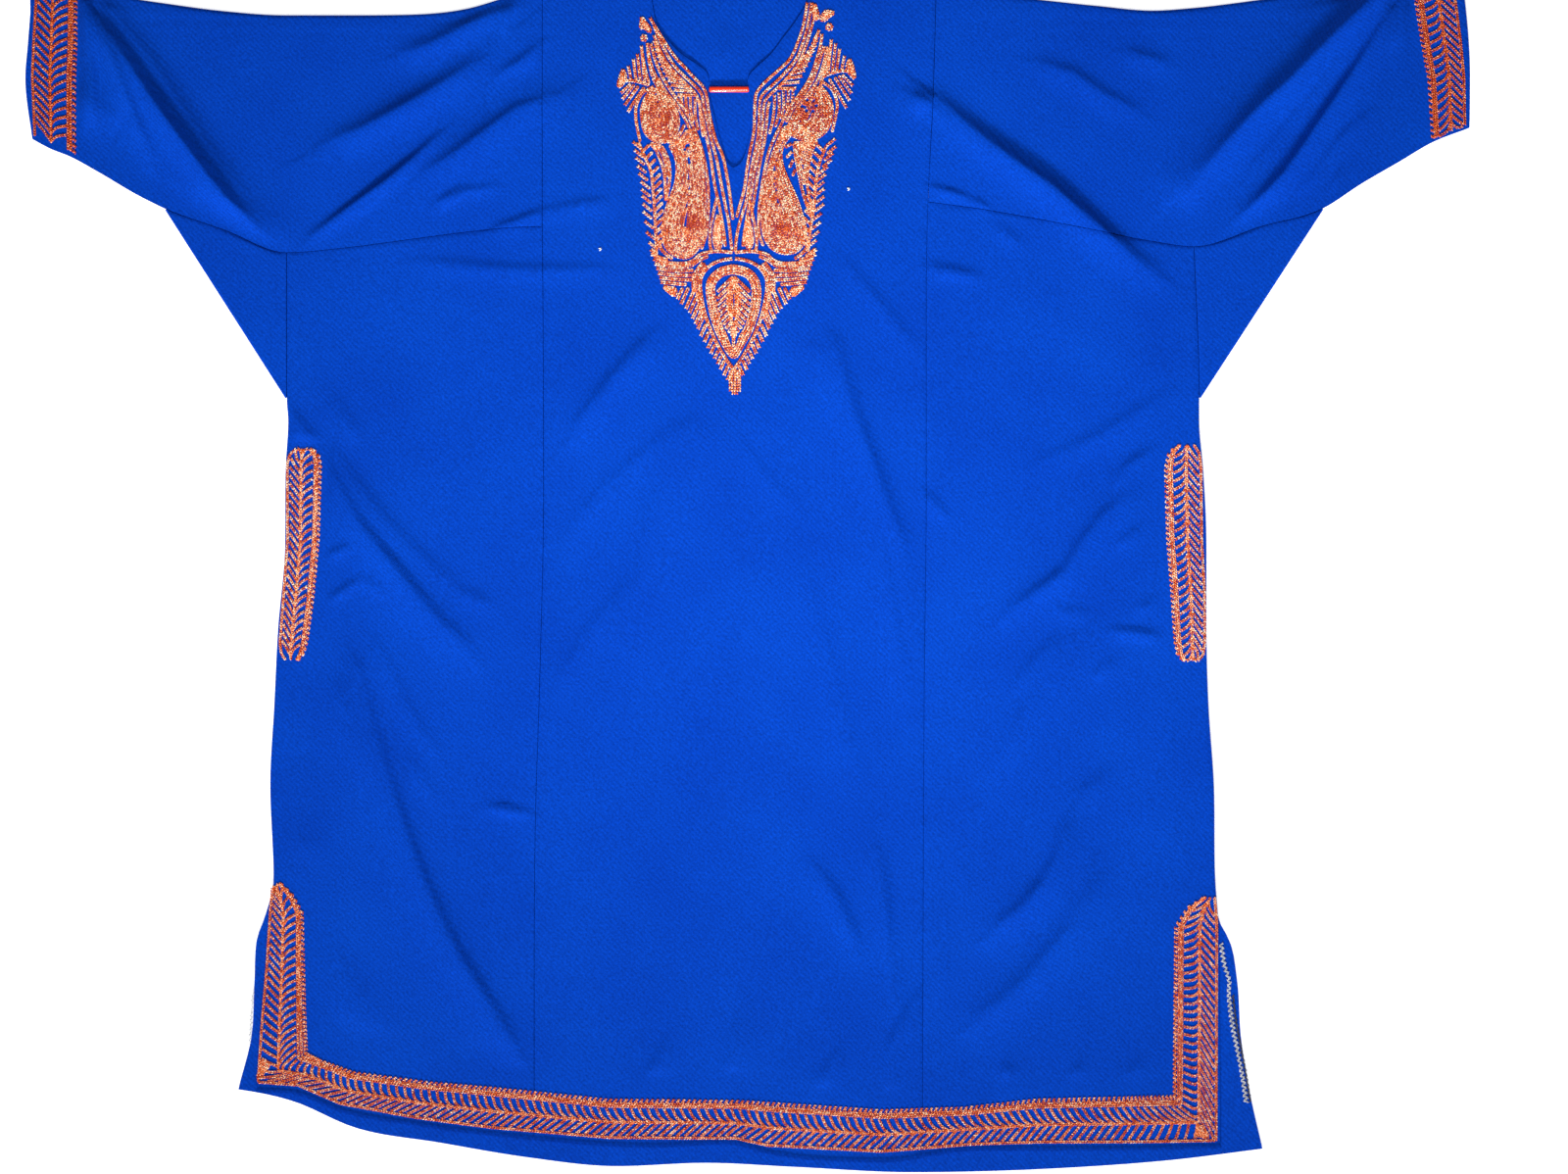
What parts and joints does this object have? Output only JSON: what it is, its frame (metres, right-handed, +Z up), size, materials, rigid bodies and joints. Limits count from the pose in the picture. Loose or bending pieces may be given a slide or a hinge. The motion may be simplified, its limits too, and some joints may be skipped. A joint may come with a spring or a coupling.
{
  "type": "pheran laid flat",
  "caption": "Loose blue overgarment of straight-cut panels laid flat, with a slit V neck, wide short sleeves, side vents and copper chain-stitch bands at neck, cuffs, pockets and hem",
  "frame": {"origin": "middle of the garment's outline as it lies, on the surface that it lies on", "axes": "+X from cuff to cuff, to the viewer's right; +Y from the hem to the neck; +Z up, out of the front of the garment"},
  "size_m": [1.0792, 0.9068, 0.0086],
  "materials": {
    "cloth": "fine matt twill with a soft nap",
    "tilla_thread": "copper metallic thread in chain stitch",
    "red_bar": "glossy",
    "white_thread": "dull white cotton sewing thread"
  },
  "bodies": {
    "root": {"back_centre": "cloth", "back_side_left": "cloth", "back_side_right": "cloth", "front_centre": "cloth", "front_side_left": "cloth", "front_side_right": "cloth", "sleeve_left": "cloth", "sleeve_right": "cloth", "gusset_left": "cloth", "gusset_right": "cloth", "embroidery_yoke": "tilla_thread", "embroidery_hem": "tilla_thread", "embroidery_pocket_left": "tilla_thread", "embroidery_pocket_right": "tilla_thread", "embroidery_cuff_left": "tilla_thread", "embroidery_cuff_right": "tilla_thread", "neck_bar": "red_bar"}
  },
  "joints": []
}
